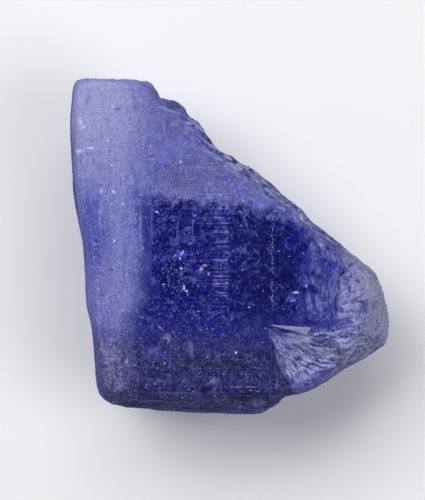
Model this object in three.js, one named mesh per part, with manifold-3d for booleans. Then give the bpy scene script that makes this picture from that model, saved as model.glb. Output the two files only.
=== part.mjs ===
// A rough tanzanite crystal, lying on its flat back face.
//
// The crystal is a flattened prism. Its growth direction runs along Y, its broad face looks up along +Z, and it
// rests on the cleavage face at z = 0. The left side is a pair of prism faces, the upper right side is broken along
// a hackly diagonal below a few growth terraces, and the lower right end is a rounded, frosted lobe with a
// shell-shaped chip.
//
// The stone is one piece. It is lofted through three outlines, the rim of the broad face, the girdle where the stone
// is widest, and the rim of the back face, and then cut by planes, scoops, grooves and chips.
import * as THREE from "three";
import { ConvexGeometry } from "three/addons/geometries/ConvexGeometry.js";
import { mergeVertices } from "three/addons/utils/BufferGeometryUtils.js";
import Module from "manifold-3d";

const wasm = await Module();
wasm.setup();

// Driving dimensions, in millimetres.
const THICKNESS = 13.2;
const CENTRE = new THREE.Vector2(-2, -3); // every outline can be seen whole from here
const SAMPLES_PER_SPAN = 2; // loft points from one girdle point to the next
const FRONT_STEPS = [0.16, 0.36, 0.58, 0.8, 1]; // shares of the way from the front rim out to the girdle
const BACK_STEPS = [0.12, 0.24, 0.36, 0.48, 0.6, 0.72, 0.86, 1]; // and from the girdle in to the back rim
const BLEND_SAMPLES = 3; // loft points over which one side's form passes into the next
const LEFT_FACE_TILT = 7; // degrees, for the pale face left of the broad face
const RIGHT_FACE_TILT = 7;
const LEFT_CREASE_X = -9.7;
const RIGHT_CREASE_X = 8;

// The girdle, clockwise as seen from above, one side after the other. height is the girdle's z on that side, and
// wander is how far it strays from there. shoulder is the form above the girdle, and belly, from 0 for a flat wall
// up to 1, how far the wall below it bulges. rough is the depth of the relief on both.
const GIRDLE = [
  {
    side: "top end",
    height: 8.8,
    wander: 1.5,
    shoulder: "bevel",
    belly: 0.2,
    rough: 0.3,
    points: [[-16.2, 17.9], [-13.9, 18.0], [-11.2, 17.85], [-8.8, 17.7], [-8.1, 17.1]],
  },
  {
    side: "growth terraces",
    height: 11.4,
    wander: 0,
    shoulder: "terrace",
    belly: 0.5,
    rough: 0.5,
    points: [
      [-7.75, 16.4], [-7.55, 15.9], [-6.4, 15.75], [-5.3, 15.3], [-4.8, 14.6], [-4.5, 13.9],
      [-3.5, 13.3], [-2.9, 12.6], [-2.5, 11.8], [-2.0, 11.4], [-1.4, 10.4],
    ],
  },
  {
    side: "hackly diagonal",
    height: 9.2,
    wander: 3,
    shoulder: "bevel",
    belly: 0.35,
    rough: 1,
    points: [
      [0, 9.7], [1.1, 9.0], [2.2, 8.5], [4.1, 7.1], [5.3, 5.9], [6.4, 4.9], [7.6, 4.1],
      [8.5, 2.9], [10.7, 1.3], [12.8, -0.5],
    ],
  },
  {
    side: "right lobe",
    height: 6.6,
    wander: 2,
    shoulder: "lobe",
    belly: 0.7,
    rough: 0.5,
    points: [
      [14.5, -1.8], [15.5, -2.7], [16.3, -4.2], [16.9, -6.4], [17.15, -8.5], [16.85, -10.4],
      [15.6, -11.4], [14.1, -12.3],
    ],
  },
  {
    side: "lower break",
    height: 6.8,
    wander: 2.4,
    shoulder: "lobe",
    belly: 0.5,
    rough: 0.7,
    points: [[11.7, -13.6], [9.6, -15.0], [7.5, -15.9], [5.8, -16.2], [5.3, -16.9], [4.3, -17.4], [3.2, -18.0]],
  },
  {
    side: "bottom end",
    height: 8.2,
    wander: 3,
    shoulder: "bevel",
    belly: 0.3,
    rough: 0.6,
    points: [[-1.1, -17.95], [-5.3, -17.8], [-9.6, -17.4], [-12.6, -16.9], [-14.0, -15.8]],
  },
  {
    side: "left prism edge",
    height: 6.8,
    wander: 0,
    shoulder: "bevel",
    belly: 0,
    rough: 0,
    points: [
      [-14.4, -13.7], [-14.7, -10.5], [-15.0, -8.1], [-15.4, -6.6], [-15.55, -3.6], [-15.8, 0.4],
      [-16.3, 2.8], [-16.8, 5.8], [-16.85, 7.3], [-17.0, 9.8], [-17.15, 12.7], [-17.0, 15.6], [-16.75, 17.3],
    ],
  },
];

// The rim of the broad front face, clockwise from its top left corner.
const FRONT_RIM = [
  [-15.8, 17.3], [-12.8, 17.4], [-9.1, 17.1], [-8.3, 16.3], [-7.8, 15.2], [-6.3, 14.4], [-5.0, 13.7],
  [-4.2, 12.8], [-3.2, 12.0], [-2.6, 11.1], [-1.9, 9.8], [-0.6, 9.0], [1.1, 8.1], [2.7, 6.8], [4.3, 5.4],
  [5.9, 3.9], [7.5, 2.5], [9.1, 1.1], [10.7, -0.1], [11.9, -1.6], [12.0, -3.6], [11.5, -5.7], [11.2, -8.0],
  [10.2, -9.8], [8.6, -12.2], [6.4, -14.2], [3.4, -16.2], [-0.5, -16.3], [-5.3, -16.2], [-10.7, -16.0],
  [-13.0, -15.1], [-13.6, -13.6], [-13.9, -10.5], [-14.3, -7.3], [-14.7, -3.6], [-15.0, 0.2], [-15.5, 3.4],
  [-15.9, 6.0], [-16.1, 9.2], [-16.3, 13.0], [-16.2, 15.8],
];

// The rim of the flat back face that the stone rests on, with the straight runs of prism and cleavage edges.
const BACK_RIM = [
  [-13.4, 15.0], [-9.8, 15.6], [-6.6, 11.6], [-2.2, 7.4], [3.0, 3.4], [8.2, -0.6], [11.2, -3.8], [12.6, -6.8],
  [12.0, -9.8], [8.8, -12.2], [4.2, -14.2], [-2.0, -15.2], [-8.6, -14.8], [-11.6, -13.2], [-12.4, -6.0],
  [-13.2, 2.0], [-14.0, 10.0],
];

const turned = (x, y, z) => new THREE.Matrix4().makeRotationFromEuler(new THREE.Euler(x, y, z));

// A repeatable rough value from 0 to 1 that varies smoothly over about one unit.
function relief(x, y, z) {
  const corner = (i, j, k) => {
    const s = Math.sin(i * 127.1 + j * 311.7 + k * 74.7) * 43758.5453;
    return s - Math.floor(s);
  };
  const [i, j, k] = [x, y, z].map(Math.floor);
  const [u, v, w] = [x - i, y - j, z - k].map((t) => t * t * (3 - 2 * t));
  const mix = THREE.MathUtils.lerp;
  const plane = (layer) =>
    mix(
      mix(corner(i, j, layer), corner(i + 1, j, layer), u),
      mix(corner(i, j + 1, layer), corner(i + 1, j + 1, layer), u),
      v,
    );
  return mix(plane(k), plane(k + 1), w);
}

// How far the shoulder has dropped, from 0 at the front rim to 1 at the girdle, at a share t of the way out.
const SHOULDERS = {
  bevel: (t) => t,
  lobe: (t) => 1 - Math.sqrt(1 - t * t),
  terrace: (t) => (t < 0.2 ? 4 * t : 0.8 + 0.25 * (t - 0.2)),
};

// Distance from CENTRE to a closed outline of points, in the direction of an angle.
function reach(outline, angle) {
  const [dx, dy] = [Math.cos(angle), Math.sin(angle)];
  let best = 0;
  outline.forEach(([ax, ay], i) => {
    const [bx, by] = outline[(i + 1) % outline.length];
    const [px, py] = [ax - CENTRE.x, ay - CENTRE.y];
    const [ex, ey] = [bx - ax, by - ay];
    const cross = dx * ey - dy * ex;
    if (Math.abs(cross) < 1e-9) return;
    const distance = (px * ey - py * ex) / cross;
    const along = (px * dy - py * dx) / cross;
    if (distance > 0 && along >= -1e-6 && along <= 1 + 1e-6) best = Math.max(best, distance);
  });
  return best;
}

// The girdle as loft stations: an angle and distance from CENTRE, and the side's values blended with its
// neighbours'.
function stations() {
  const knots = GIRDLE.flatMap((side) => side.points.map(([x, y]) => ({ x, y, side })));
  const curve = new THREE.CatmullRomCurve3(
    knots.map(({ x, y }) => new THREE.Vector3(x, y, 0)),
    true,
    "centripetal",
  );
  const count = knots.length * SAMPLES_PER_SPAN;
  const sides = [...Array(count).keys()].map((i) => knots[Math.floor(i / SAMPLES_PER_SPAN)].side);
  return sides.map((_, i) => {
    const p = curve.getPoint(i / count);
    const spread = [...Array(2 * BLEND_SAMPLES + 1).keys()];
    const near = spread.map((k) => sides[(i + k - BLEND_SAMPLES + count) % count]);
    const mean = (value) => near.reduce((sum, side) => sum + value(side), 0) / near.length;
    const stray = relief(p.x * 0.21, p.y * 0.21, 5) - 0.5;
    return {
      angle: Math.atan2(p.y - CENTRE.y, p.x - CENTRE.x),
      girdle: Math.hypot(p.x - CENTRE.x, p.y - CENTRE.y),
      height: mean((side) => side.height) + stray * mean((side) => side.wander),
      belly: mean((side) => side.belly),
      rough: mean((side) => side.rough),
      dropAt: (t) => mean((side) => SHOULDERS[side.shoulder](t)),
    };
  });
}

// The closed surface through the front rim, the girdle and the back rim.
function loftedBody() {
  const around = stations();
  // A point at a distance from CENTRE, moved inwards by the ledges that broken walls step in.
  const place = (station, distance, z, share) => {
    const [cos, sin] = [Math.cos(station.angle), Math.sin(station.angle)];
    const [x, y] = [CENTRE.x + cos * distance, CENTRE.y + sin * distance];
    const ledges = 0.5 * relief(x * 0.35, y * 0.35, z * 0.4) + relief(x * 0.9, y * 0.9, z * 1.1);
    const bite = station.rough * share * ledges;
    return [x - cos * bite, y - sin * bite, z];
  };
  const frontRing = (t) =>
    around.map((station) => {
      const distance = THREE.MathUtils.lerp(reach(FRONT_RIM, station.angle), station.girdle, t);
      const z = THREE.MathUtils.lerp(THICKNESS, station.height, station.dropAt(t));
      return place(station, distance, z, 0.4 * Math.sin(Math.PI * t));
    });
  const backRing = (t) =>
    around.map((station) => {
      const bulged = THREE.MathUtils.lerp(t, t * t * t, station.belly);
      const distance = THREE.MathUtils.lerp(station.girdle, reach(BACK_RIM, station.angle), bulged);
      return place(station, distance, station.height * (1 - t), 1.2 * Math.sin(Math.PI * Math.min(t, 0.95)));
    });
  const rings = [0, ...FRONT_STEPS].map(frontRing).concat(BACK_STEPS.map(backRing));
  const size = around.length;
  const index = [];
  for (let ring = 0; ring + 1 < rings.length; ring++) {
    for (let i = 0; i < size; i++) {
      const [a, b] = [ring * size + i, ring * size + ((i + 1) % size)];
      index.push(a, b, a + size, b, b + size, a + size);
    }
  }
  const cap = (ring, firstIndex, up) => {
    const contour = ring.map(([x, y]) => new THREE.Vector2(x, y));
    for (const [a, b, c] of THREE.ShapeUtils.triangulateShape(contour, [])) {
      const area = new THREE.Vector2().subVectors(contour[b], contour[a]).cross(
        new THREE.Vector2().subVectors(contour[c], contour[a]),
      );
      const face = area > 0 === up ? [a, b, c] : [a, c, b];
      index.push(...face.map((i) => i + firstIndex));
    }
  };
  cap(rings[0], 0, true);
  cap(rings.at(-1), (rings.length - 1) * size, false);
  const geometry = new THREE.BufferGeometry();
  geometry.setAttribute("position", new THREE.Float32BufferAttribute(rings.flat(2), 3));
  geometry.setIndex(index);
  return geometry;
}

// A closed three.js geometry as a solid for cutting and joining.
function solidOf(geometry) {
  const bare = geometry.clone();
  bare.deleteAttribute("normal");
  bare.deleteAttribute("uv");
  const merged = mergeVertices(bare);
  return new wasm.Manifold(
    new wasm.Mesh({
      numProp: 3,
      vertProperties: new Float32Array(merged.attributes.position.array),
      triVerts: new Uint32Array(merged.index.array),
    }),
  );
}

// Everything on the outer side of a plane, for cutting a flat face.
function beyondPlane(point, normal) {
  const reachOut = 80;
  const block = new THREE.BoxGeometry(reachOut, reachOut, reachOut).translate(0, 0, reachOut / 2);
  const turn = new THREE.Quaternion().setFromUnitVectors(
    new THREE.Vector3(0, 0, 1),
    new THREE.Vector3(...normal).normalize(),
  );
  return solidOf(block.applyQuaternion(turn).translate(...point));
}

// A flat face that falls away to the right of a crease from one point of the broad face to another, by a tilt
// in degrees. A negative tilt falls away to the left.
function fallingFace([ax, ay], [bx, by], tilt) {
  const along = new THREE.Vector2(bx - ax, by - ay).normalize();
  const sink = THREE.MathUtils.degToRad(tilt);
  const normal = [along.y * Math.sin(sink), -along.x * Math.sin(sink), Math.cos(sink)];
  return beyondPlane([ax, ay, THICKNESS], normal);
}

// A shell-shaped scoop: an ellipsoid whose skin carries ripples that spread from a point on it.
function rippledScoop({ centre, radii, turn, origin, ripple, wave, sides = 36 }) {
  const ball = new THREE.SphereGeometry(1, sides, Math.round(sides / 1.5));
  const points = ball.attributes.position;
  const start = new THREE.Vector3(...origin);
  const p = new THREE.Vector3();
  for (let i = 0; i < points.count; i++) {
    p.fromBufferAttribute(points, i).multiply(new THREE.Vector3(...radii));
    const distance = p.distanceTo(start);
    p.multiplyScalar(1 + (ripple * Math.sin((2 * Math.PI * distance) / wave)) / p.length());
    points.setXYZ(i, p.x, p.y, p.z);
  }
  return solidOf(ball.applyMatrix4(turned(...turn)).translate(...centre));
}

// A straight bar of three sides with one edge down, from one point to another, widened by a flatness, for cutting
// a V-shaped groove.
function grooveBar(from, to, depth, flatness = 1) {
  const [a, b] = [new THREE.Vector3(...from), new THREE.Vector3(...to)];
  const along = new THREE.Vector3().subVectors(b, a).normalize();
  const across = new THREE.Vector3().crossVectors(along, new THREE.Vector3(0, 0, 1)).normalize();
  const up = new THREE.Vector3().crossVectors(across, along);
  const bar = new THREE.CylinderGeometry(depth, depth, a.distanceTo(b), 3, 1, false, Math.PI)
    .scale(flatness, 1, 1)
    .applyMatrix4(new THREE.Matrix4().makeBasis(across, along, up))
    .translate(...a.add(b).multiplyScalar(0.5).toArray());
  return solidOf(bar);
}

// Height of the broad front at an x where one of its two side faces has fallen away.
function frontHeight(x) {
  const left = Math.max(LEFT_CREASE_X - x, 0) * Math.tan(THREE.MathUtils.degToRad(LEFT_FACE_TILT));
  const right = Math.max(x - RIGHT_CREASE_X, 0) * Math.tan(THREE.MathUtils.degToRad(RIGHT_FACE_TILT));
  return THICKNESS - left - right;
}

// The flat growth faces that meet in low creases across the broad front, and the worn flats along its ends.
function growthFaces() {
  return [
    fallingFace([LEFT_CREASE_X, -18], [LEFT_CREASE_X + 0.1, 18], -LEFT_FACE_TILT),
    fallingFace([-9.3, 5.7], [5.9, 2.6], -4.5), // the upper face, towards the terraces
    fallingFace([RIGHT_CREASE_X, -9], [RIGHT_CREASE_X - 0.1, 4], RIGHT_FACE_TILT),
    fallingFace([-12, -15.0], [4, -15.4], 24), // the worn edge along the bottom
    fallingFace([-16, 17.0], [-8, 16.8], -30), // the worn edge along the top
    beyondPlane([-12, 17.6, 6], [-0.05, 0.94, -0.34]), // the end face below the top edge
    beyondPlane([-14.9, -14, 4], [-0.72, -0.62, -0.3]), // the broken corner at the bottom left
    beyondPlane([10.5, -12.6, 3.2], [0.45, -0.72, -0.53]), // the break under the lobe
  ];
}

// The chip at the lower right: a shell-shaped break that starts under a small flat ledge.
function lowerRightChip() {
  const shell = rippledScoop({
    centre: [9.5, -13.5, THICKNESS + 2.0],
    radii: [5.7, 4.7, 4.1],
    turn: [0.05, 0.1, -0.3],
    origin: [-4.6, 3.2, -1.5],
    ripple: 0.17,
    wave: 1.35,
    sides: 48,
  });
  const [top, bite] = [THICKNESS + 0.1, THICKNESS + 1.4];
  const ledge = new ConvexGeometry(
    [
      [4.2, -8.3, top], [8.8, -8.5, top - 0.06], [8.4, -9.9, THICKNESS - 1.15], [5.6, -9.6, THICKNESS - 0.75],
      [5.0, -10.4, bite], [9.0, -10.8, bite],
    ].map((p) => new THREE.Vector3(...p)),
  );
  return [shell, solidOf(ledge)];
}

// Broad scoops on the back and on the broken ends, each as [centre, radii, turn, origin, ripple, wave].
function backScoops() {
  return [
    [[10.4, -9.2, -2.4], [5.0, 4.2, 3.9], [0, 0.2, 0.5], [4, -3, 1], 0.12, 1.7],
    [[-13.4, 15.8, -1.6], [4.4, 3.4, 3.4], [0.2, 0, 0.3], [-3, 2, 1], 0.1, 1.6],
    [[-4.5, -19.6, 3.2], [6.2, 3.1, 4.2], [0, 0, 0.08], [-4, 1, 2], 0.12, 1.7],
    [[-0.6, 10.9, 2.2], [4.2, 3.0, 3.6], [0.2, 0, -0.6], [-3, 1, 2], 0.1, 1.4],
    [[13.8, 1.2, 3.6], [4.0, 2.6, 3.2], [0.1, 0.2, -0.7], [-2, 1, 2], 0.1, 1.3],
  ].map(([centre, radii, turn, origin, ripple, wave]) =>
    rippledScoop({ centre, radii, turn, origin, ripple, wave }),
  );
}

// Shallow growth flutes along Y on the broad front, each as [x, deep end, shallow end, depth, flatness]. A flute
// runs out where its shallow end comes up to the face.
function striations() {
  return [
    [-15.3, 18.5, -6, 0.16, 4], [-14.5, -17, 11, 0.12, 7], [-13.6, -17, 16, 0.2, 3], [-12.6, 18.5, -9, 0.14, 6],
    [-11.6, -17, 9, 0.18, 4], [-10.5, 18.5, -4, 0.12, 6], [-9.3, -16, 6, 0.1, 3], [-4.3, -16, 6, 0.12, 4],
    [-0.9, 4, -13, 0.1, 5], [4.3, -8, 5, 0.12, 3], [8.9, 2.6, -8.5, 0.14, 5], [10.5, -7.8, 1.5, 0.14, 4],
  ].map(([x, deep, shallow, depth, flatness]) => {
    const z = frontHeight(x);
    return grooveBar([x, deep, z + depth * 0.2], [x, shallow, z + depth * 0.95], depth, flatness);
  });
}

// The steps of the cleavage on the back: facets that rise from the rest face, two past creases that run nearly
// along Y and two across the ends.
function cleavageSteps() {
  return [
    beyondPlane([-10.9, 0, 0], [-0.07, 0.005, -1]),
    beyondPlane([4.6, 0, 0], [0.085, -0.02, -1]),
    beyondPlane([0, 9.5, 0], [0.02, 0.11, -1]),
    beyondPlane([-1.2, -12.6, 0], [0.02, -0.16, -1]),
  ];
}

// The open crack beside the lobe, with a small pit at its upper end.
function crack() {
  const route = [[12.9, -2.2], [11.9, -2.8], [11.4, -3.7], [11.4, -5.0], [11.1, -6.3], [10.9, -7.6]];
  const [depth, lift] = [0.24, 0.02];
  const bars = route.slice(1).map(([x, y], i) => {
    const [px, py] = route[i];
    return grooveBar([px, py, frontHeight(px) - lift], [x, y, frontHeight(x) - lift], depth, 0.6);
  });
  const [pitX, pitY] = route[1];
  const pit = new THREE.SphereGeometry(0.42, 10, 7).translate(pitX, pitY, frontHeight(pitX));
  return [...bars, solidOf(pit)];
}

// Small flat-faced bites along the rim of the hackly diagonal, each as [x, y, length, width, turn].
function rimChips() {
  return [
    [-0.6, 9.6, 1.5, 0.8, -0.5], [1.5, 8.6, 1.3, 1.1, -0.2], [2.9, 7.4, 2.0, 0.8, -0.9],
    [4.7, 5.8, 1.1, 1.0, 0.1], [5.9, 4.7, 2.1, 0.9, -0.8], [8.0, 2.9, 1.2, 1.1, -0.4],
    [9.4, 1.6, 1.9, 0.8, -0.95], [11.3, 0.2, 1.3, 1.0, -0.3], [12.8, -1.5, 1.7, 0.8, -1.0],
  ].map(([x, y, length, width, turn], i) => {
    const bite = new THREE.IcosahedronGeometry(1, 0)
      .applyMatrix4(turned(0.7 * i, 0.4 * i, 0))
      .scale(length, width, 0.9 + 0.3 * (i % 2))
      .applyMatrix4(turned(0.35, 0.2 * (i % 3), turn));
    return solidOf(bite.translate(x, y, frontHeight(x) - 0.15 - 0.25 * (i % 3)));
  });
}

function tanzaniteCrystal() {
  const cutters = [
    ...growthFaces(),
    ...lowerRightChip(),
    ...backScoops(),
    ...striations(),
    ...cleavageSteps(),
    ...crack(),
    ...rimChips(),
  ];
  const stone = cutters.reduce((solid, cutter) => solid.subtract(cutter), solidOf(loftedBody()));
  const { vertProperties, triVerts } = stone.getMesh();
  const geometry = new THREE.BufferGeometry();
  geometry.setAttribute("position", new THREE.BufferAttribute(vertProperties, 3));
  geometry.setIndex(new THREE.BufferAttribute(triVerts, 1));
  geometry.computeVertexNormals();
  // The origin is the centre of the footprint, on the surface that the stone rests on.
  geometry.computeBoundingBox();
  const { min, max } = geometry.boundingBox;
  geometry.translate(-(min.x + max.x) / 2, -(min.y + max.y) / 2, -min.z);
  const material = new THREE.MeshStandardMaterial({ color: 0x3d3f96, roughness: 0.35, metalness: 0 });
  const mesh = new THREE.Mesh(geometry, material);
  mesh.name = "tanzanite_crystal";
  return mesh;
}

const stone = new THREE.Group();
stone.add(tanzaniteCrystal());

export default stone;
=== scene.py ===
import math

import bpy
import numpy as np
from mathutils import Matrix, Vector


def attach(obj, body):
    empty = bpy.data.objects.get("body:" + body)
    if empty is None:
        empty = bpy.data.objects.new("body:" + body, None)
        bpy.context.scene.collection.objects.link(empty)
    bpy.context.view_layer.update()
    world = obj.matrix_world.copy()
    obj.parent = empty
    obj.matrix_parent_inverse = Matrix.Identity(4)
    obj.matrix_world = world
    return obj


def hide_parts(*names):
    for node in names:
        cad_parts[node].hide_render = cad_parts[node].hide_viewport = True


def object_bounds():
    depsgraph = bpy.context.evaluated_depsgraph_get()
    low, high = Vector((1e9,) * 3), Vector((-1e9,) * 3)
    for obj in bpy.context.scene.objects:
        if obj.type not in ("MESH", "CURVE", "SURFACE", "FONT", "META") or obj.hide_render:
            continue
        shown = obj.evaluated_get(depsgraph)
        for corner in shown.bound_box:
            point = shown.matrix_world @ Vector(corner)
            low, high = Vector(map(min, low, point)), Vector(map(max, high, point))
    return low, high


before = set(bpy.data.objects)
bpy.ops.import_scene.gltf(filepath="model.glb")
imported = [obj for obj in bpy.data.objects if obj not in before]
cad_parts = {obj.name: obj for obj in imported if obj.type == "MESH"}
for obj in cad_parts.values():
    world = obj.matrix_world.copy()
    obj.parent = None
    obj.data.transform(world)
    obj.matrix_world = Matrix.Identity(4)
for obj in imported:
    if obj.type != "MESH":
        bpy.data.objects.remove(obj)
cad_low, cad_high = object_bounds()

MM = 0.001

# The photograph: its size in pixels, what a pixel spans at the girdle, and the pixel over the origin.
PHOTO_WIDTH = 425
PHOTO_HEIGHT = 500
PIXEL_SPAN = 0.1068 * MM
ORIGIN_PIXEL_X = 230.0
ORIGIN_PIXEL_Y = 246.5
CAMERA_DISTANCE = 0.35
GIRDLE_HEIGHT = 8.5 * MM

# The crystal's mesh, and the hackly diagonal: which way it faces, and how far its rim is from the origin.
VOXEL = 0.2 * MM
DIAGONAL_X = 0.605
DIAGONAL_Y = 0.796
DIAGONAL_RIM = 7.35  # in millimetres, as are all places in the patterns

# The clear crystal: how it bends, absorbs and reflects light.
REFRACTIVE_INDEX = 1.69
DEPTH_COLOUR = (0.12, 0.14, 0.97, 1)
DEPTH_DENSITY = 190
REFLECTION_LEVEL = 0.16
REFLECTION_TINT = (0.44, 0.47, 0.88, 1)

# The soft lamps: how wide each is, and where each hangs.
LAMP_WIDTH = 0.34
KEY_PLACE = (-0.27, 0.22, 0.38)
FILL_PLACE = (0.34, -0.1, 0.34)
BACK_PLACE = (0.04, 0.38, 0.34)


# Camera, floor and light


def overhead_camera():
    """The camera looks straight down at the broad front face, framed as the photograph is."""
    centre_x = (PHOTO_WIDTH / 2 - ORIGIN_PIXEL_X) * PIXEL_SPAN
    centre_y = (ORIGIN_PIXEL_Y - PHOTO_HEIGHT / 2) * PIXEL_SPAN
    place = (centre_x, centre_y, GIRDLE_HEIGHT + CAMERA_DISTANCE)
    bpy.ops.object.camera_add(location=place, rotation=(0, 0, 0))
    camera = bpy.context.object
    camera.name = "camera_above"
    camera.data.lens = camera.data.sensor_width * CAMERA_DISTANCE / (PHOTO_HEIGHT * PIXEL_SPAN)
    camera.data.clip_start = 0.01
    bpy.context.scene.camera = camera


def pale_floor():
    """A plain pale surface just under the crystal."""
    bpy.ops.mesh.primitive_plane_add(size=4, location=(0, 0, -0.01 * MM))
    floor = bpy.context.object
    floor.name = "pale_floor"
    paint = Paint("pale_floor_paint")
    paint.shader.inputs["Base Color"].default_value = (0.86, 0.86, 0.87, 1)
    paint.shader.inputs["Roughness"].default_value = 0.7
    floor.data.materials.append(paint.material)


def soft_box(name, place, watts, colour):
    """A square area light that faces the crystal."""
    bpy.ops.object.light_add(type="AREA", location=place)
    lamp = bpy.context.object
    lamp.name = name
    lamp.data.size = LAMP_WIDTH
    lamp.data.energy = watts
    lamp.data.color = colour
    lamp.rotation_euler = Vector(place).to_track_quat("Z", "Y").to_euler()


def studio_light():
    """A key light from the upper left, two weaker lights, and a room that is dim above."""
    soft_box("key_light", KEY_PLACE, 1.95, (1, 0.99, 0.97))
    soft_box("fill_light", FILL_PLACE, 1.0, (0.97, 0.98, 1))
    soft_box("back_light", BACK_PLACE, 0.75, (1, 1, 1))
    world = bpy.data.worlds.new("room")
    world.use_nodes = True
    tree = world.node_tree
    direction = tree.nodes.new("ShaderNodeTexCoord")
    height = tree.nodes.new("ShaderNodeSeparateXYZ")
    tree.links.new(direction.outputs["Generated"], height.inputs[0])
    shade = tree.nodes.new("ShaderNodeValToRGB")
    shade.color_ramp.elements[0].position = 0.25
    shade.color_ramp.elements[0].color = (0.3, 0.31, 0.33, 1)
    shade.color_ramp.elements[1].position = 0.9
    shade.color_ramp.elements[1].color = (0.05, 0.053, 0.065, 1)
    tree.links.new(height.outputs["Z"], shade.inputs[0])
    tree.links.new(shade.outputs[0], tree.nodes["Background"].inputs["Color"])
    bpy.context.scene.world = world
    bpy.context.scene.view_settings.view_transform = "Standard"


# Materials


def linear(red, green, blue):
    """A colour given as 0 to 255 on a screen, as Blender's linear red, green, blue and alpha."""
    shares = (channel / 255 for channel in (red, green, blue))
    return (*(s / 12.92 if s <= 0.04045 else ((s + 0.055) / 1.055) ** 2.4 for s in shares), 1.0)


class Paint:
    """A material with a method for each kind of node that its pattern is made of."""

    def __init__(self, name):
        self.material = bpy.data.materials.new(name)
        self.material.use_nodes = True
        self.tree = self.material.node_tree
        self.shader = self.tree.nodes["Principled BSDF"]

    def feed(self, socket, value):
        """Sets a socket to a number or colour, or links another node's output to it."""
        if isinstance(value, bpy.types.NodeSocket):
            self.tree.links.new(value, socket)
        else:
            socket.default_value = value

    def node(self, kind, **settings):
        made = self.tree.nodes.new(kind)
        for name, value in settings.items():
            setattr(made, name, value)
        return made

    def math(self, operation, *values):
        made = self.node("ShaderNodeMath", operation=operation)
        for socket, value in zip(made.inputs, values):
            self.feed(socket, value)
        return made.outputs[0]

    def vector(self, operation, vector, constant):
        made = self.node("ShaderNodeVectorMath", operation=operation)
        self.feed(made.inputs[0], vector)
        made.inputs[1].default_value = constant
        return made

    def add(self, first, *others):
        for other in others:
            first = self.math("ADD", first, other)
        return first

    def times(self, first, *others):
        for other in others:
            first = self.math("MULTIPLY", first, other)
        return first

    def most(self, first, *others):
        for other in others:
            first = self.math("MAXIMUM", first, other)
        return first

    def step(self, value, low, high):
        """0 below low and 1 above high, and smooth between them. high may be the lower of the two."""
        made = self.node("ShaderNodeMapRange", interpolation_type="SMOOTHSTEP")
        flip = low > high
        self.feed(made.inputs["Value"], value)
        made.inputs["From Min"].default_value = min(low, high)
        made.inputs["From Max"].default_value = max(low, high)
        made.inputs["To Min"].default_value = 1.0 if flip else 0.0
        made.inputs["To Max"].default_value = 0.0 if flip else 1.0
        return made.outputs["Result"]

    def between(self, value, low, high, soft):
        """1 from low to high, fading out over soft on either side."""
        return self.times(self.step(value, low - soft, low), self.step(value, high + soft, high))

    def inverse(self, share):
        return self.math("SUBTRACT", 1.0, share)

    def mix(self, share, first, second):
        """The first colour where share is 0, and the second where it is 1."""
        made = self.node("ShaderNodeMix", data_type="RGBA")
        self.feed(made.inputs[0], share)
        self.feed(made.inputs[6], first)
        self.feed(made.inputs[7], second)
        return made.outputs[2]

    def tones(self, value, low, high, pair):
        """From the first colour of a pair to the second as value goes from low to high."""
        return self.mix(self.step(value, low, high), linear(*pair[0]), linear(*pair[1]))

    def over(self, colour, share, shade):
        """A shade, as 0 to 255 on a screen, laid over a colour where share is 1."""
        return self.mix(share, colour, linear(*shade))

    def blend(self, share, first, second):
        """The same for two numbers."""
        made = self.node("ShaderNodeMix", data_type="FLOAT")
        self.feed(made.inputs[0], share)
        self.feed(made.inputs[2], first)
        self.feed(made.inputs[3], second)
        return made.outputs[0]

    def moved(self, vector, location=(0, 0, 0), turn=(0, 0, 0), scale=(1, 1, 1)):
        made = self.node("ShaderNodeMapping")
        self.feed(made.inputs["Vector"], vector)
        made.inputs["Location"].default_value = location
        made.inputs["Rotation"].default_value = turn
        made.inputs["Scale"].default_value = scale
        return made.outputs[0]

    def noise(self, vector, scale, detail=2.0, roughness=0.5, distortion=0.0):
        made = self.node("ShaderNodeTexNoise")
        self.feed(made.inputs["Vector"], vector)
        made.inputs["Scale"].default_value = scale
        made.inputs["Detail"].default_value = detail
        made.inputs["Roughness"].default_value = roughness
        made.inputs["Distortion"].default_value = distortion
        return made.outputs["Fac"]


# Where the zones of the broad face lie: x for the band, the strip and the lobe, and y for the others.
BAND_EDGE = -9.4
STRIP_START = 6.4
LOBE_START = 11.7
WINDOW_TOP = 3.2
LOW_END_TOP = -5.6
FOOT_TOP = -15.6
FOOT_BOTTOM = -17.4

# Where the shell-shaped chip's rays start, and the wedge of flat ledge above it.
CHIP_START_X = 3.7
CHIP_START_Y = -7.6
CHIP_CURL = 0.05  # radians that each ray swings towards the horizontal for each millimetre out
LEDGE_LEFT = 4.3
LEDGE_RIGHT = 8.7
LEDGE_TOP = -8.3
LEDGE_TOP_FALL = 0.062  # how far its upper edge falls for each millimetre to the right
LEDGE_FOOT_FALL = 0.268  # the same for its lower edge
LEDGE_END_LEAN = 0.69  # how far its right end leans to the left for each millimetre down
CRACK_LEAN = 0.14  # how far the crack beside the lobe leans to the left for each millimetre down

# Soft-edged stripes on the broad face, in millimetres: from, to and how far they fade in x, then in y.
STRIPES = {
    "edge_stripe": ((-9.4, -8.4, 0.2), (-1.5, 4.6, 2.6)),
    "lined": ((-4.4, -0.4, 1.8), (-6.0, 9.5, 2.0)),
    "column": ((-1.6, -0.3, 0.3), (-6.0, 5.0, 1.5)),
    "dotted_line": ((4.35, 4.5, 0.12), (-5.5, 2.5, 1.5)),
}

# Streaks down the pale left face, in the same way. Their sides waver.
STREAKS = {
    "bright_streak": ((-12.9, -10.8, 0.9), (-6.5, 13.0, 4.0)),
    "deep_streak": ((-15.0, -14.2, 0.7), (-2.6, 4.0, 4.0)),
}

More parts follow.
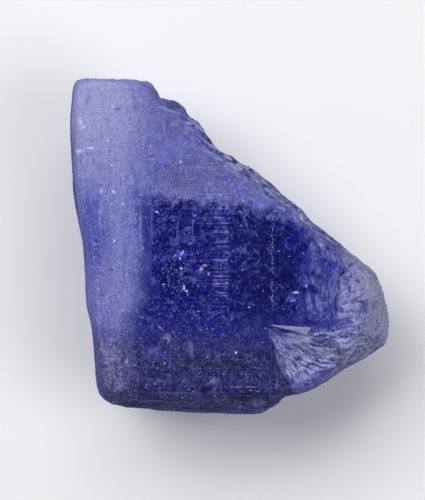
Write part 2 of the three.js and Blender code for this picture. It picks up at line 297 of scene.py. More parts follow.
# The two tones that each part of the surface is mottled or lined with, as 0 to 255 on a screen.
CLEAR_WINDOW = ((44, 50, 240), (104, 112, 222))
PALE_FACE = ((66, 72, 168), (114, 118, 192))
WORN_FOOT = ((50, 42, 90), (116, 108, 148))
UPPER_FACE = ((90, 88, 158), (104, 107, 190))
LOW_END = ((14, 12, 80), (30, 28, 120))
FROSTED_LOBE = ((56, 61, 142), (160, 162, 206))
LOBE_MARGIN = ((120, 118, 150), (174, 171, 186))
BROKEN_RIM = ((56, 62, 142), (140, 144, 200))
SPLINTERED_EDGE = ((22, 26, 110), (176, 180, 220))
CHIP_STREAKS = ((48, 53, 134), (184, 187, 224))
CHIP_PLAIN = ((52, 56, 140), (104, 108, 178))
SIDE_WALL = ((40, 42, 146), (104, 108, 192))
RIGHT_STRIP = ((34, 41, 150), (124, 132, 206))
# The foot bevel: its deep blue darkened with painted shade.
SHADED_FOOT = ((10, 5, 56), (62, 56, 128))

# Colours of the single marks, as 0 to 255 on a screen.
WHITE = (200, 206, 240)
PALE = (150, 150, 200)
HAZY_BLUE = (100, 114, 206)
# Blue and pink glints: painted spots of light flashing from inside the crystal.
BLUE_GLINT = (112, 136, 222)
PINK_GLINT = (178, 160, 202)
TURQUOISE = (108, 164, 206)
STRAW = (146, 142, 132)
FAINT = (96, 98, 168)
NAVY = (26, 28, 92)
SLATE = (52, 58, 96)
# Near black: painted shade in the small pits and down the crack beside the lobe.
PIT_SHADE = (16, 16, 24)

# Small flecks, by colour: x, y, half length and half width in millimetres, and turn in degrees.
FLECKS = {
    WHITE: [
        (-7.7, 3.6, 0.24, 0.12, -20),
        (-5.2, -2.3, 0.16, 0.12, 0),
        (-7.0, -4.0, 0.18, 0.1, 10),
        (2.0, -6.4, 0.2, 0.12, 30),
        (0.6, -11.2, 0.15, 0.15, 0),
        (-6.9, -12.3, 0.13, 0.13, 0),
        (1.0, -17.0, 0.2, 0.2, 0),
        (5.4, 5.0, 0.36, 0.18, -40),
        (6.1, 4.3, 0.32, 0.22, -30),
        (7.6, 3.0, 0.42, 0.13, -42),
        (8.8, 1.8, 0.38, 0.12, -40),
        (10.6, 0.6, 0.5, 0.13, -38),
        (-13.6, 5.8, 0.12, 0.26, 0),
        (-11.3, 4.5, 0.14, 0.2, 20),
        (-12.2, 0.6, 0.12, 0.18, -20),
        (-12.9, 11.2, 0.12, 0.16, 0),
        (-5.2, 8.9, 0.16, 0.14, 0),
        (6.9, -4.85, 0.42, 0.12, 5),
        (-4.85, -4.3, 0.16, 0.3, 10),
        (-4.6, -4.7, 0.2, 0.12, -40),
        (-5.05, -0.65, 0.14, 0.32, -20),
        (-5.3, -1.3, 0.12, 0.16, 0),
        (-16.1, 10.05, 0.6, 0.24, 8),
        (-14.7, 10.4, 0.4, 0.18, 10),
        (-15.8, 13.2, 0.2, 0.4, 10),
        (-15.5, 12.6, 0.34, 0.16, 40),
        (-12.5, 8.6, 0.15, 0.15, 0),
        (-12.3, 5.75, 0.26, 0.16, -35),
        (-12.45, 14.8, 0.1, 0.22, 0),
        (-4.3, 13.0, 0.34, 0.14, -30),
    ],
    # Painted blue glints.
    BLUE_GLINT: [
        (3.3, 4.3, 0.36, 0.24, 20),
        (-3.7, 3.25, 0.26, 0.16, 10),
        (-3.85, 2.7, 0.14, 0.18, 0),
        (-0.3, 4.2, 0.12, 0.26, 0),
        (-4.5, -5.0, 0.14, 0.22, 30),
        (-3.4, -0.7, 0.2, 0.1, -40),
        (6.6, -5.7, 0.4, 0.14, 10),
        (-5.9, -1.0, 0.2, 0.14, 0),
    ],
    # Painted pink glints.
    PINK_GLINT: [
        (-3.05, -2.3, 0.22, 0.3, 20),
        (-2.65, -2.0, 0.3, 0.16, 10),
        (-2.3, -2.9, 0.16, 0.28, -30),
        (14.3, -5.3, 0.36, 0.28, 20),
    ],
    TURQUOISE: [(-10.95, -12.1, 0.16, 0.3, -20)],
    STRAW: [
        (-6.5, -9.9, 0.14, 0.34, -20),
        (11.35, -4.7, 0.12, 0.16, 0),
        (-4.2, 0.3, 0.28, 0.12, 25),
    ],
    NAVY: [
        (2.2, 7.9, 0.55, 0.36, -40),
        (-0.85, 9.85, 0.5, 0.24, -50),
        (0.7, 9.1, 1.0, 0.3, -42),
        (3.85, 7.15, 1.2, 0.3, -48),
        (1.9, 7.6, 0.8, 0.4, -42),
        (-2.3, 11.2, 0.5, 0.22, -45),
    ],
    # Painted shade in small pits.
    PIT_SHADE: [
        (-14.1, 0.5, 0.22, 0.12, -40),
        (-12.5, -2.5, 0.12, 0.12, 0),
        (11.85, -2.9, 0.46, 0.18, 35),
    ],
}

# Larger hazy patches, each broken up into flakes, in the same way.
PATCHES = {
    HAZY_BLUE: [
        (-6.0, 3.1, 0.7, 0.4, 0),
        (-5.5, -0.9, 1.6, 0.9, -10),
        (-2.2, 4.6, 1.0, 0.4, 0),
        (2.9, 4.4, 1.6, 0.9, 0),
        (6.5, -5.5, 1.0, 0.9, 0),
        (-8.2, -11.3, 1.8, 1.2, 0),
        (-7.5, 13.0, 0.9, 0.7, 0),
        (-7.4, 9.1, 1.1, 0.7, 0),
    ],
    WHITE: [
        (14.4, -4.2, 1.0, 0.45, -15),
        (5.3, 5.1, 1.3, 0.5, -42),
        (7.4, 2.9, 1.2, 0.45, -44),
        (9.9, -0.2, 0.9, 0.4, -48),
        (7.6, -15.4, 1.5, 0.35, 22),
    ],
    NAVY: [(-6.0, 14.9, 1.3, 0.7, -30)],
    PALE: [
        (5.6, 5.0, 1.1, 0.6, -40),
        (6.3, 4.2, 0.9, 0.5, -40),
        (3.0, -16.6, 0.9, 0.6, 0),
        (14.9, -4.4, 1.0, 0.9, 0),
        (-1.7, -14.3, 0.7, 0.6, 0),
        (-6.7, -9.6, 0.9, 0.6, 0),
        (-4.2, -10.6, 0.5, 1.0, 0),
    ],
    SLATE: [
        (2.9, 6.5, 0.5, 0.34, -30),
        (7.9, 0.9, 0.8, 0.9, 0),
    ],
}

# Fine lines, by colour: where each starts and ends, and its half width, in millimetres.
LINES = {
    PALE: [
        ((-7.9, 14.9), (-4.7, 13.8), 0.18),
        ((-4.7, 13.8), (-2.6, 11.9), 0.18),
        ((-1.9, 9.6), (1.4, 7.9), 0.24),
        ((1.4, 7.9), (4.0, 5.7), 0.26),
        ((4.0, 5.7), (8.0, 2.6), 0.34),
        ((-9.5, 5.2), (-9.4, -1.4), 0.12),
        ((-2.1, -3.1), (-0.3, -3.15), 0.12),
        ((-1.6, -4.9), (-0.2, -4.9), 0.12),
        ((-7.7, -8.2), (-7.0, -9.0), 0.16),
        ((-0.2, -14.8), (3.2, -14.8), 0.14),
        ((4.6, -10.6), (6.1, -14.3), 0.3),
    ],
    FAINT: [
        ((-8.3, 5.6), (-8.25, -0.8), 0.15),
        ((-5.55, 3.4), (-5.55, -0.6), 0.13),
        ((-4.0, 4.8), (-3.95, 0.4), 0.13),
        ((0.0, 4.8), (3.6, 1.8), 0.08),
        ((1.0, 4.1), (2.2, 1.0), 0.07),
        ((1.9, 0.6), (3.6, -1.7), 0.07),
        ((3.3, -1.5), (5.3, -3.5), 0.07),
        ((-6.3, -10.2), (-6.4, -15.0), 0.18),
        ((-4.1, -9.4), (-4.0, -13.6), 0.24),
        ((-9.4, -15.4), (-1.2, -15.5), 0.18),
        ((-7.4, -17.0), (-0.6, -17.1), 0.16),
        ((-1.4, -15.9), (-0.6, -17.7), 0.16),
    ],
    NAVY: [
        # The first navy line is a painted shadow along the step above the flat ledge.
        ((4.0, -8.1), (9.2, -8.38), 0.2),
        ((4.6, -8.5), (8.4, -9.5), 0.18),
        ((-12.4, 14.5), (-11.5, 14.5), 0.12),
        ((12.0, -2.8), (13.2, -1.5), 0.14),
        ((11.15, -5.6), (11.05, -7.8), 0.14),
    ],
    # Painted shade down the crack beside the lobe.
    PIT_SHADE: [
        ((11.6, -2.9), (11.35, -4.8), 0.16),
        ((11.4, -4.6), (11.1, -5.9), 0.14),
    ],
}


def crystal_patterns(paint, place, x, y):
    """The patterns that several zones share. Their scales are in grains to the millimetre."""

    def stretched(scale_x, scale_y, detail, turn=0.0, distortion=0.0, scale_z=1.0):
        moved = paint.moved(place, turn=(0, 0, turn), scale=(scale_x, scale_y, scale_z))
        return paint.noise(moved, 1.0, detail, 0.62, distortion)

    def along_the_rim(scale_along, scale_across):
        along = paint.add(paint.times(x, DIAGONAL_Y), paint.times(y, -DIAGONAL_X))
        across = paint.add(paint.times(x, DIAGONAL_X), paint.times(y, DIAGONAL_Y))
        grain = paint.node("ShaderNodeCombineXYZ")
        paint.feed(grain.inputs[0], paint.times(along, scale_along))
        paint.feed(grain.inputs[1], paint.times(across, scale_across))
        return paint.noise(grain.outputs[0], 1.0, 5, 0.7, 0.9)

    curl = paint.noise(paint.moved(place, location=(5, 1, 0)), 1.4, 3, 0.6, 0.9)
    glint_noise = paint.noise(paint.moved(place, location=(7, 3, 0)), 2.9, 2, 0.7)
    return {
        "waver": paint.add(paint.noise(place, 0.45, 4, 0.6), -0.5),
        "clouds": paint.noise(place, 0.28, 4, 0.6),
        "patches": paint.noise(place, 0.6, 3, 0.6),
        "mottle": paint.noise(place, 1.4, 6, 0.74, 0.4),
        "grain": paint.noise(place, 4.2, 2, 0.7),
        "curls": paint.step(paint.math("ABSOLUTE", paint.add(curl, -0.5)), 0.03, 0.0),
        "weave": paint.times(paint.add(stretched(1.6, 4.8, 3), stretched(3.6, 0.8, 3)), 0.5),
        "striae": stretched(0.8, 0.07, 4, distortion=0.4),
        "hairs_up": stretched(4.5, 0.25, 2),
        "hairs_across": stretched(0.18, 6.2, 1),
        "waves": stretched(0.5, 1.6, 6, turn=-0.15, distortion=1.7),
        "streaky": stretched(1.7, 0.6, 5, turn=-0.1, distortion=1.2),
        "chips": stretched(1.1, 2.0, 6, turn=0.5, distortion=1.0),
        "side": stretched(1.1, 0.5, 5, distortion=0.6, scale_z=1.7),
        "splinters": along_the_rim(0.6, 2.4),
        "rays": chip_rays(paint, x, y),
        "dust": paint.step(paint.noise(place, 4.6, 1, 0.6), 0.63, 0.73),
        # Scattered bright specks: painted glints.
        "painted_glints": paint.step(glint_noise, 0.67, 0.73),
    }


def crystal_zones(paint, pattern, x, y, z, upright):
    """How far each point of the crystal lies in each of its zones, from 0 to 1."""
    waver, mottle = pattern["waver"], pattern["mottle"]
    across = paint.add(x, paint.times(waver, 1.6))
    along = paint.add(y, paint.times(waver, 2.6), mottle, -0.5)
    zone = {}
    for name, (x_span, y_span) in STRIPES.items():
        zone[name] = paint.times(paint.between(x, *x_span), paint.between(y, *y_span))
    for name, (x_span, y_span) in STREAKS.items():
        zone[name] = paint.times(paint.between(across, *x_span), paint.between(y, *y_span))

    from_band = paint.add(across, paint.times(paint.step(y, -5.0, -8.5), 1.3), -BAND_EDGE)
    sharp_band = paint.step(from_band, 0.5, -0.4)
    hazy_band = paint.step(paint.add(from_band, paint.times(mottle, 4.0)), 3.6, 0.2)
    low_band = paint.blend(paint.step(y, 1.0, -3.0), sharp_band, hazy_band)
    soft_band = paint.step(across, BAND_EDGE + 4.0, BAND_EDGE - 2.2)
    zone["band"] = paint.blend(paint.step(y, 3.5, 6.0), low_band, soft_band)

    window_top = paint.add(along, paint.times(mottle, 4.5), paint.times(x, 0.13), -2.2)
    zone["upper"] = paint.step(window_top, WINDOW_TOP, WINDOW_TOP + 2.0)
    zone["low_end"] = paint.step(along, LOW_END_TOP, LOW_END_TOP - 6.4)
    zone["strip"] = paint.step(across, STRIP_START, STRIP_START + 2.4)
    zone["blotchy"] = paint.blend(paint.step(x, 3.5, -1.0), 0.6, 1.0)
    zone["foot"] = paint.times(
        paint.between(paint.add(y, paint.times(waver, 0.8)), FOOT_BOTTOM, FOOT_TOP, 0.4),
        paint.blend(paint.step(x, -0.4, -1.4), 0.4, 1.0),
        paint.step(x, -12.4, -11.4),
        paint.step(upright, 0.12, 0.34),
    )

    steep = paint.step(paint.add(upright, paint.times(waver, 0.4)), 0.55, 0.25)
    in_sight = paint.step(upright, 0.0, 0.25)
    pale_side = paint.times(paint.step(y, -11.0, -6.0), paint.step(x, -5.0, -8.0))
    pale_wall = paint.times(pale_side, paint.step(z, 8.0, 9.5))
    in_chip = paint.times(paint.step(x, 3.0, 4.0), paint.step(y, -8.0, -9.0), in_sight)
    off_chip = paint.inverse(in_chip)
    zone["wall"] = paint.times(steep, off_chip, paint.blend(pale_wall, 1.0, 0.3))
    # The sloping outline, which is given painted shade below.
    zone["edge"] = paint.times(paint.step(upright, 0.9, 0.6), off_chip, paint.inverse(pale_side))

    past_crack = paint.add(x, paint.times(y, -CRACK_LEAN), paint.times(waver, 2.0))
    sharp_lobe = paint.step(past_crack, LOBE_START, LOBE_START + 1.1)
    soft_lobe = paint.step(paint.add(past_crack, paint.times(mottle, 6.0), -3.0), 10.0, 14.5)
    zone["lobe"] = paint.blend(steep, sharp_lobe, soft_lobe)
    lobe_slope = paint.step(paint.add(upright, paint.times(waver, 0.8)), 0.98, 0.5)
    zone["lobe_margin"] = paint.times(lobe_slope, zone["lobe"])

    diagonal = paint.add(
        paint.times(across, DIAGONAL_X),
        paint.times(y, DIAGONAL_Y),
        paint.times(waver, 1.5),
    )
    zone["rim"] = paint.times(
        paint.step(diagonal, DIAGONAL_RIM - 1.5, DIAGONAL_RIM - 0.5),
        paint.blend(paint.step(x, -5.5, -2.5), 0.15, 1.0),
    )
    zone["rim_edge"] = paint.times(
        paint.step(upright, 0.95, 0.7),
        paint.step(diagonal, DIAGONAL_RIM - 1.0, DIAGONAL_RIM),
        paint.step(x, -5.0, -2.0),
        paint.step(x, 12.0, 9.0),
        paint.step(z, 7.5, 10.5),
    )

    fan_left = paint.add(x, paint.times(waver, 0.6), paint.times(paint.add(y, 9.0), 0.4))
    zone["fan"] = paint.times(paint.step(fan_left, 3.9, 4.3), paint.step(along, -8.7, -9.4), in_sight)
    zone["fan_pale"] = paint.step(paint.add(y, paint.times(x, -0.344)), -17.2, -16.0)
    zone["fan_start"] = paint.times(paint.step(x, 7.6, 5.6), paint.step(y, -11.6, -10.2))

    from_left = paint.add(x, -LEDGE_LEFT)
    from_top = paint.add(y, -LEDGE_TOP)
    right_end = paint.add(x, paint.times(from_top, -LEDGE_END_LEAN))
    zone["ledge"] = paint.times(
        paint.step(right_end, LEDGE_RIGHT + 0.1, LEDGE_RIGHT),
        paint.step(paint.add(from_top, paint.times(from_left, LEDGE_TOP_FALL)), 0.06, -0.02),
        paint.step(paint.add(from_top, paint.times(from_left, LEDGE_FOOT_FALL)), -0.06, 0.04),
    )
    return zone


def chip_rays(paint, x, y):
    """Rays that fan out over the shell-shaped chip from its upper left corner."""
    dx = paint.add(x, -CHIP_START_X)
    dy = paint.add(y, -CHIP_START_Y)
    angle = paint.math("ARCTAN2", dy, dx)
    radius = paint.math("SQRT", paint.add(paint.times(dx, dx), paint.times(dy, dy)))
    round_start = paint.times(paint.add(angle, paint.times(radius, -CHIP_CURL)), 19.0)
    outwards = paint.times(radius, 0.75)
    fanned = paint.node("ShaderNodeCombineXYZ")
    paint.feed(fanned.inputs[0], round_start)
    paint.feed(fanned.inputs[1], outwards)
    return paint.noise(fanned.outputs[0], 1.0, 5, 0.7, 1.0)


def pale_face_colour(paint, pattern, zone, x, y):
    """The pale left face: lavender at its upper end, periwinkle below, and grey and worn at its foot."""
    mottle = pattern["mottle"]
    face = paint.tones(pattern["striae"], 0.36, 0.66, PALE_FACE)
    face = paint.over(face, paint.times(paint.step(mottle, 0.48, 0.66), 0.6), (130, 132, 198))
    # Paler towards the upper left: partly its own frosting, partly a painted sheen on the side the key
    # light comes from.
    palest_with_sheen = paint.times(paint.step(y, 1.0, 15.0), paint.step(x, -5.0, -13.0))
    face = paint.over(face, paint.times(palest_with_sheen, 0.9), (164, 166, 210))
    face = paint.over(face, paint.times(zone["bright_streak"], 0.36), (144, 146, 204))
    face = paint.over(face, paint.times(zone["deep_streak"], 0.9), (74, 78, 172))
    face = paint.over(face, paint.times(paint.between(y, -7.0, -3.5, 3.0), 0.3), (144, 143, 190))
    worn = paint.tones(mottle, 0.4, 0.6, WORN_FOOT)
    return paint.mix(paint.step(y, -7.5, -11.5), face, worn)


def zone_layers(paint, pattern, zone, x, y):
    """Each zone's share, its colour and how milky it leaves the crystal, from the lowest layer up."""
    mottle, clouds, patches = pattern["mottle"], pattern["clouds"], pattern["patches"]
    upper = paint.tones(clouds, 0.4, 0.6, UPPER_FACE)
    upper = paint.over(upper, paint.times(paint.step(mottle, 0.45, 0.7), 0.8), (130, 130, 188))
    low_end = paint.tones(patches, 0.36, 0.62, LOW_END)
    low_end = paint.over(low_end, paint.times(paint.step(mottle, 0.48, 0.66), 0.75), (88, 88, 166))
    waves = paint.add(pattern["waves"], paint.times(patches, 0.9))
    rays = paint.add(pattern["rays"], paint.times(patches, 0.3))
    streaks = paint.tones(rays, 0.57, 0.73, CHIP_STREAKS)
    plain = paint.tones(mottle, 0.4, 0.65, CHIP_PLAIN)
    streaked = paint.times(zone["fan_pale"], paint.blend(zone["fan_start"], 1.0, 0.4))
    margin = paint.tones(pattern["side"], 0.36, 0.56, LOBE_MARGIN)
    wavering = paint.add(y, paint.times(pattern["waver"], 5.0))
    gritty = paint.times(paint.step(wavering, -7.6, -11.6), paint.step(mottle, 0.56, 0.46))
    in_strip = paint.times(zone["strip"], paint.step(patches, 0.38, 0.54))
    return [
        (zone["low_end"], low_end, 0.52),
        (zone["upper"], upper, 0.85),
        (in_strip, paint.tones(pattern["streaky"], 0.44, 0.57, RIGHT_STRIP), 0.66),
        (paint.times(zone["edge_stripe"], 0.7), linear(60, 66, 176), 0.5),
        (zone["band"], pale_face_colour(paint, pattern, zone, x, y), 0.95),
        (zone["lobe"], paint.tones(waves, 0.83, 1.12, FROSTED_LOBE), 0.95),
        (zone["rim"], paint.tones(pattern["splinters"], 0.4, 0.6, BROKEN_RIM), 0.85),
        (zone["fan"], paint.mix(streaked, plain, streaks), 0.95),
        (
            zone["wall"],
            paint.tones(pattern["side"], 0.36, 0.66, SIDE_WALL),
            paint.blend(paint.step(clouds, 0.42, 0.56), 0.5, 0.92),
        ),
        # Painted shade: the sloping outline darkened.
        (paint.times(zone["edge"], 0.45), linear(26, 28, 90), 0.9),
        (
            paint.times(zone["rim_edge"], 0.85),
            paint.tones(pattern["splinters"], 0.44, 0.56, SPLINTERED_EDGE),
            0.92,
        ),
        (zone["foot"], paint.tones(mottle, 0.44, 0.64, SHADED_FOOT), 0.85),
        (paint.times(zone["lobe_margin"], 0.8), paint.over(margin, gritty, (58, 58, 92)), 0.95),
    ]


def crystal_colour(paint, pattern, zone, x, y):
    """The clear window's colour with each zone laid over it, and how milky the crystal is."""
    mottle, grain, weave = pattern["mottle"], pattern["grain"], pattern["weave"]
    colour = paint.tones(mottle, 0.46, 0.66, CLEAR_WINDOW)
    colour = paint.over(colour, paint.step(zone["upper"], 0.0, 0.3), (72, 76, 196))
    colour = paint.over(colour, paint.step(zone["band"], 0.0, 0.3), (70, 75, 200))
    milky = paint.most(
        paint.times(paint.step(mottle, 0.46, 0.68), zone["blotchy"], 0.56),
        paint.times(pattern["curls"], zone["blotchy"], 0.4),
        paint.times(paint.step(grain, 0.54, 0.7), 0.3),
        0.05,
    )
    for share, layer, milkiness in zone_layers(paint, pattern, zone, x, y):
        colour = paint.mix(share, colour, layer)
        milky = paint.blend(share, milky, milkiness)

    worn = paint.most(zone["band"], zone["upper"], zone["low_end"])
    grit = paint.times(milky, paint.blend(worn, 0.5, 0.32))
    woven = paint.times(milky, paint.step(pattern["patches"], 0.34, 0.62), 0.45)
    colour = paint.over(colour, paint.times(paint.step(weave, 0.5, 0.4), woven), (54, 58, 142))
    colour = paint.over(colour, paint.times(paint.step(weave, 0.5, 0.6), woven), (172, 175, 230))
    colour = paint.over(colour, paint.times(paint.step(grain, 0.48, 0.34), grit), (28, 30, 104))
    colour = paint.over(colour, paint.times(paint.step(grain, 0.54, 0.68), grit), (176, 180, 232))
    # More painted shade over the foot bevel.
    colour = paint.over(colour, paint.times(zone["foot"], 0.6), (20, 10, 80))
    # Near white on the ledge: partly its frosting, partly a painted highlight on a facet that faces the
    # light.
    colour = paint.over(colour, zone["ledge"], (180, 179, 224))
    return colour, paint.blend(zone["ledge"], milky, 0.95)


def with_marks(paint, pattern, zone, colour, milky):
    """The colour and milkiness with hairlines, dust and painted glints laid over every zone."""
    hairs_up, hairs_across = pattern["hairs_up"], pattern["hairs_across"]
    broken_up = paint.blend(paint.step(pattern["mottle"], 0.4, 0.58), 0.35, 1.0)
    low_lines = paint.blend(zone["low_end"], 0.1, 0.22)
    lined = paint.most(paint.times(zone["lined"], 0.38), paint.times(zone["column"], 0.78), low_lines)
    lines = paint.most(
        paint.times(paint.step(hairs_across, 0.5, 0.62), broken_up, lined),
        paint.times(paint.step(hairs_up, 0.54, 0.7), broken_up, paint.add(low_lines, 0.06)),
        paint.times(zone["column"], 0.12),
    )
    line_colour = paint.mix(zone["upper"], linear(132, 134, 208), linear(156, 158, 210))
    colour = paint.mix(lines, colour, line_colour)
    milky = paint.most(milky, lines)
    dark_lines = paint.most(paint.step(hairs_up, 0.46, 0.36), paint.step(hairs_across, 0.44, 0.34))
    on_pale_faces = paint.most(zone["band"], zone["upper"])
    colour = paint.over(colour, paint.times(dark_lines, on_pale_faces, broken_up, 0.2), (72, 74, 152))

    gathered = paint.blend(paint.step(pattern["patches"], 0.42, 0.6), 0.3, 1.0)
    cloudy = paint.step(pattern["clouds"], 0.36, 0.6)
    dusty = paint.most(
        paint.times(zone["low_end"], gathered),
        paint.times(cloudy, zone["blotchy"], 0.9),
    )
    beads = paint.times(paint.step(pattern["grain"], 0.5, 0.6), zone["dotted_line"], 0.8)
    dust = paint.most(paint.times(pattern["dust"], dusty), beads)
    # Dust is the crystal's own pale specks; the glints are painted highlights.
    dust_and_glints = paint.most(paint.times(dust, 0.7), paint.times(pattern["painted_glints"], 0.9))
    dust_and_glints = paint.times(dust_and_glints, paint.inverse(zone["ledge"]))
    return paint.over(colour, dust_and_glints, (186, 192, 240)), paint.most(milky, dust_and_glints)


def line_as_mark(start, end, half_width):
    """A fine line as a long thin oval."""
    run = Vector(end) - Vector(start)
    middle = (Vector(start) + Vector(end)) / 2
    return (middle.x, middle.y, run.length / 2, half_width, math.degrees(math.atan2(run.y, run.x)))


def nearest_mark(paint, place, marks):
    """How far off the nearest of a list of flat oval marks is: 0 at its middle and 1 at its outline."""
    nearest = 81.0
    for x, y, half_length, half_width, turn in marks:
        angle = math.radians(turn)
        lengthwise = Vector((math.cos(angle), math.sin(angle), 0)) / half_length
        sideways = Vector((-math.sin(angle), math.cos(angle), 0)) / half_width
        from_middle = paint.vector("SUBTRACT", place, (x, y, 0)).outputs["Vector"]
        along = paint.vector("DOT_PRODUCT", from_middle, lengthwise).outputs["Value"]
        aside = paint.vector("DOT_PRODUCT", from_middle, sideways).outputs["Value"]
        squared = paint.math("MULTIPLY_ADD", along, along, paint.times(aside, aside))
        nearest = paint.math("MINIMUM", nearest, squared)
    return paint.math("SQRT", nearest)


def with_single_marks(paint, pattern, place, front, colour, milky):
    """The colour and milkiness with the hazy patches, the fine lines and the flecks laid in."""
    uneven = paint.add(pattern["grain"], -0.5)
    ragged = paint.add(paint.noise(place, 1.6, 2), -0.5)
    flakes = paint.times(paint.step(paint.noise(place, 3.2, 3, 0.8, 0.8), 0.38, 0.54), front)
    gaps = paint.times(paint.step(pattern["mottle"], 0.36, 0.5), front)
    for shade, marks in PATCHES.items():
        off = paint.add(nearest_mark(paint, place, marks), paint.times(ragged, 3.0))
        share = paint.times(paint.step(off, 1.0, 0.0), flakes, 0.8)
        colour, milky = paint.over(colour, share, shade), paint.most(milky, share)
    for shade, lines in LINES.items():
        off = nearest_mark(paint, place, [line_as_mark(*line) for line in lines])
        share = paint.times(paint.step(paint.add(off, uneven), 1.0, 0.5), gaps, 0.7)
        colour, milky = paint.over(colour, share, shade), paint.most(milky, share)
    for shade, marks in FLECKS.items():
        off = paint.add(nearest_mark(paint, place, marks), paint.times(uneven, 2.8))
        share = paint.times(paint.step(off, 1.15, 0.45), front, paint.blend(gaps, 0.6, 0.95))
        colour, milky = paint.over(colour, share, shade), paint.most(milky, share)
    return colour, milky


def tanzanite():
    """Deep blue and clear in the middle, milky periwinkle where it is striated, worn or broken."""
    paint = Paint("rough_tanzanite")
    object_frame = paint.node("ShaderNodeTexCoord")
    place = paint.moved(object_frame.outputs["Object"], scale=(1 / MM, 1 / MM, 1 / MM))
    facing = paint.node("ShaderNodeSeparateXYZ")
    paint.feed(facing.inputs[0], object_frame.outputs["Normal"])
    upright = facing.outputs[2]
    parts = paint.node("ShaderNodeSeparateXYZ")
    paint.feed(parts.inputs[0], place)
    x, y, z = parts.outputs
    front = paint.step(upright, 0.25, 0.5)
    pattern = crystal_patterns(paint, place, x, y)
    zone = crystal_zones(paint, pattern, x, y, z, upright)
    colour, milky = crystal_colour(paint, pattern, zone, x, y)
    colour, milky = with_marks(paint, pattern, zone, colour, milky)
    colour, milky = with_single_marks(paint, pattern, place, front, colour, milky)

    frosting = paint.times(paint.step(upright, 0.8, 0.4), 0.95)
    paint.feed(paint.shader.inputs["Base Color"], colour)
    paint.feed(paint.shader.inputs["Transmission Weight"], paint.blend(milky, 1.0, 0.1))
    paint.feed(paint.shader.inputs["Roughness"], paint.most(paint.blend(milky, 0.22, 0.52), frosting))
    paint.shader.inputs["IOR"].default_value = REFRACTIVE_INDEX
    paint.shader.inputs["Specular IOR Level"].default_value = REFLECTION_LEVEL
    paint.shader.inputs["Specular Tint"].default_value = REFLECTION_TINT

    height = paint.add(
        paint.times(pattern["weave"], 0.6),
        paint.times(pattern["mottle"], 0.9),
        paint.times(pattern["grain"], 0.3),
        paint.times(pattern["rays"], zone["fan"], 3.0),
        paint.times(pattern["waves"], zone["lobe"], 2.0),
        paint.times(pattern["chips"], zone["rim"], 2.0),
    )
    bump = paint.node("ShaderNodeBump")
    bump.inputs["Strength"].default_value = 0.5
    bump.inputs["Distance"].default_value = 0.06 * MM
    paint.feed(bump.inputs["Height"], height)
    paint.feed(paint.shader.inputs["Normal"], bump.outputs[0])

    depth = paint.node("ShaderNodeVolumeAbsorption")
    depth.inputs["Color"].default_value = DEPTH_COLOUR
    depth.inputs["Density"].default_value = DEPTH_DENSITY
    output = paint.tree.nodes["Material Output"]
    paint.feed(output.inputs["Volume"], depth.outputs[0])
    return paint.material


# The crystal


def only(thing):
    """Selects one object alone and makes it active."""
    bpy.ops.object.select_all(action="DESELECT")
    thing.select_set(True)
    bpy.context.view_layer.objects.active = thing


def crystal_body():
    """A finely meshed copy of the CAD solid."""
    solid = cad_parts["tanzanite_crystal"]
    crystal = bpy.data.objects.new("rough_crystal", solid.data.copy())
    bpy.context.scene.collection.objects.link(crystal)
    only(crystal)
    bpy.ops.object.mode_set(mode="EDIT")
    bpy.ops.mesh.select_all(action="SELECT")
    bpy.ops.mesh.remove_doubles(threshold=0.001 * MM)
    bpy.ops.mesh.dissolve_degenerate(threshold=0.001 * MM)
    bpy.ops.object.mode_set(mode="OBJECT")
    remesh = crystal.modifiers.new("fine_mesh", "REMESH")
    remesh.mode = "VOXEL"
    remesh.voxel_size = VOXEL
    remesh.use_smooth_shade = True
    bpy.ops.object.modifier_apply(modifier=remesh.name)
    return crystal


def surface_of(crystal):
    """The crystal's points in millimetres and its normals, each as x, y and z."""
    points = np.empty(len(crystal.data.vertices) * 3, np.float32)
    normals = points.copy()
    crystal.data.vertices.foreach_get("co", points)
    crystal.data.vertices.foreach_get("normal", normals)
    return (points.reshape(-1, 3) / MM).T, normals.reshape(-1, 3).T


def ramp(values, low, high):
    """0 below low and 1 above high, and smooth between them. high may be the lower of the two."""
    share = np.clip((values - low) / (high - low), 0, 1)
    return share * share * (3 - 2 * share)


def vertex_group(crystal, name, weights):
    """A vertex group with the weights in twenty steps."""
    levels = 20
    group = crystal.vertex_groups.new(name=name)
    steps = np.round(weights * levels).astype(int)
    for level in range(1, levels + 1):
        group.add(np.flatnonzero(steps == level).tolist(), level / levels, "REPLACE")


def worn_shoulders(crystal):
    """Rounds the shoulders of the broad face at the left, the foot and the top end, above the girdle."""
    (x, y, z), _ = surface_of(crystal)
    left = ramp(0.085 * (8 - y) - x, 12.6, 14.4)
    foot = ramp(-y, 13.2, 15.0) * ramp(x, 6.0, 3.0)
    top = ramp(y, 14.6, 16.4)
    above_girdle = ramp(z, GIRDLE_HEIGHT / MM + 0.6, GIRDLE_HEIGHT / MM + 2.0)
    vertex_group(crystal, "worn", np.clip(left + foot + top, 0, 1) * above_girdle)
    only(crystal)
    wear = crystal.modifiers.new("worn", "SMOOTH")
    wear.factor = 0.5
    wear.iterations = 60
    wear.vertex_group = "worn"
    bpy.ops.object.modifier_apply(modifier=wear.name)
    crystal.vertex_groups.clear()


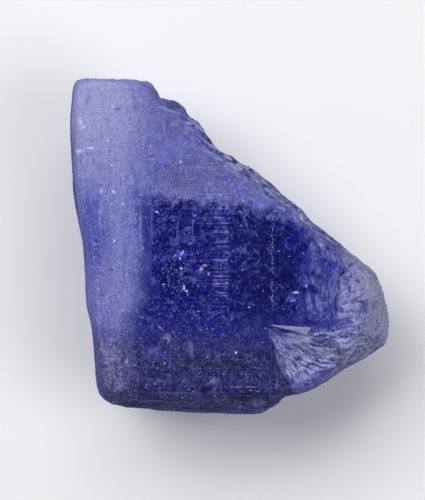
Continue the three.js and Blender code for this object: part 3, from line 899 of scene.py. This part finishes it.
def mark_zones(crystal):
    """A vertex group for each kind of surface: striated, broken, the fan, the lobe and the back."""
    (x, y, z), (nx, ny, nz) = surface_of(crystal)
    diagonal = DIAGONAL_X * x + DIAGONAL_Y * y
    wall = ramp(DIAGONAL_X * nx + DIAGONAL_Y * ny, 0.2, 0.55) * ramp(diagonal, 4.5, 6.5)
    sunk = cad_high[2] / MM - z
    fan = ramp(x, 4.0, 4.8) * ramp(-y, 8.6, 9.2) * ramp(sunk, 0.1, 0.4) * ramp(nz, 0.1, 0.4)
    lobe = ramp(x, 10.6, 12.0) * ramp(nz, -0.2, 0.3) * (1 - fan)
    up = ramp(nz, 0.7, 0.95) * (1 - lobe) * (1 - fan)
    left_wall = ramp(-nx, 0.4, 0.75)
    rim = up * ramp(diagonal, DIAGONAL_RIM - 1.4, DIAGONAL_RIM - 0.5)
    ends = ramp(-ny, 0.3, 0.6) + ramp(ny, 0.4, 0.7) * ramp(-x, 7.0, 8.0)
    zones = {
        "striated": np.maximum(up * (0.35 + 0.65 * ramp(-x, 9.0, 10.0)), left_wall),
        "broken": np.clip(wall + 0.6 * rim + 0.5 * ends * (1 - left_wall), 0, 1),
        "fan": fan,
        "lobe": lobe,
        "back": ramp(-nz, 0.6, 0.9),
        "all": np.ones_like(x),
    }
    for name, weights in zones.items():
        vertex_group(crystal, name, weights)


def chip_ray_map(crystal):
    """A map in which the chip's rays run straight up: the angle round their start and the distance."""
    (x, y, _), _ = surface_of(crystal)
    dx = x - CHIP_START_X
    dy = y - CHIP_START_Y
    angle = np.arctan2(dy, dx)
    radius = np.hypot(dx, dy)
    corners = np.empty(len(crystal.data.loops), np.int32)
    crystal.data.loops.foreach_get("vertex_index", corners)
    places = np.stack([(angle - CHIP_CURL * radius) * 8.0, radius * 0.4], axis=1)[corners]
    rays = crystal.data.uv_layers.new(name="chip_rays")
    rays.data.foreach_set("uv", places.astype(np.float32).ravel())
    return rays.name


def press_in(crystal, zone, pattern, depth, size=(1, 1, 1), centre=(0, 0, 0), turn=0.0, rays=""):
    """Lays a pattern over one zone, half of depth proud and half sunk, in millimetres.

    size is that of the pattern's grain along x, y and z, and turn swings it round from x towards y.
    rays names a map that the pattern follows instead.
    """
    bpy.ops.object.empty_add(location=[MM * value for value in centre], rotation=(0, 0, turn))
    guide = bpy.context.object
    guide.scale = [MM * value for value in size]
    bpy.context.view_layer.update()
    only(crystal)
    press = crystal.modifiers.new(zone, "DISPLACE")
    press.texture = pattern
    if rays:
        press.texture_coords = "UV"
        press.uv_layer = rays
    else:
        press.texture_coords = "OBJECT"
        press.texture_coords_object = guide
    press.vertex_group = zone
    press.strength = depth * MM
    press.mid_level = 0.5
    bpy.ops.object.modifier_apply(modifier=press.name)
    bpy.data.objects.remove(guide)


def cloud_pattern(name, hard, octaves):
    pattern = bpy.data.textures.new(name, "CLOUDS")
    pattern.noise_scale = 1.0
    pattern.noise_depth = octaves
    pattern.noise_type = "HARD_NOISE" if hard else "SOFT_NOISE"
    return pattern


def natural_relief(crystal):
    """The striations, breaks and etching that the solid leaves out."""
    soft = cloud_pattern("soft_grain", False, 3)
    hard = cloud_pattern("hackly_grain", True, 2)
    mark_zones(crystal)
    rays = chip_ray_map(crystal)
    press_in(crystal, "striated", soft, 0.14, size=(1.3, 16, 1.3))
    press_in(crystal, "striated", soft, 0.08, size=(0.6, 7, 0.6), centre=(3, 1, 2))
    press_in(crystal, "broken", soft, 0.45, size=(2.2, 2.2, 1.6))
    press_in(crystal, "broken", hard, 0.14, size=(1.0, 1.0, 0.8), centre=(4, 2, 1))
    press_in(crystal, "fan", soft, 0.4, rays=rays)
    press_in(crystal, "lobe", soft, 0.3, size=(2.2, 0.8, 0.8), turn=0.12)
    press_in(crystal, "lobe", hard, 0.1, size=(1.0, 0.7, 0.7), centre=(2, 5, 1))
    press_in(crystal, "back", soft, 0.12, size=(1.4, 5, 1.4))
    press_in(crystal, "all", soft, 0.05, size=(0.6, 0.6, 0.6))
    crystal.vertex_groups.clear()
    crystal.data.uv_layers.remove(crystal.data.uv_layers[rays])


def stay_in_solid(crystal):
    """Keeps every point inside the CAD solid's box."""
    points = np.empty(len(crystal.data.vertices) * 3, np.float32)
    crystal.data.vertices.foreach_get("co", points)
    points = points.reshape(-1, 3).clip(np.array(cad_low), np.array(cad_high))
    crystal.data.vertices.foreach_set("co", points.astype(np.float32).ravel())
    crystal.data.update()


def rough_crystal():
    crystal = crystal_body()
    worn_shoulders(crystal)
    natural_relief(crystal)
    stay_in_solid(crystal)
    crystal.data.materials.clear()
    crystal.data.materials.append(tanzanite())
    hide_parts("tanzanite_crystal")
    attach(crystal, "root")


overhead_camera()
rough_crystal()
pale_floor()
studio_light()
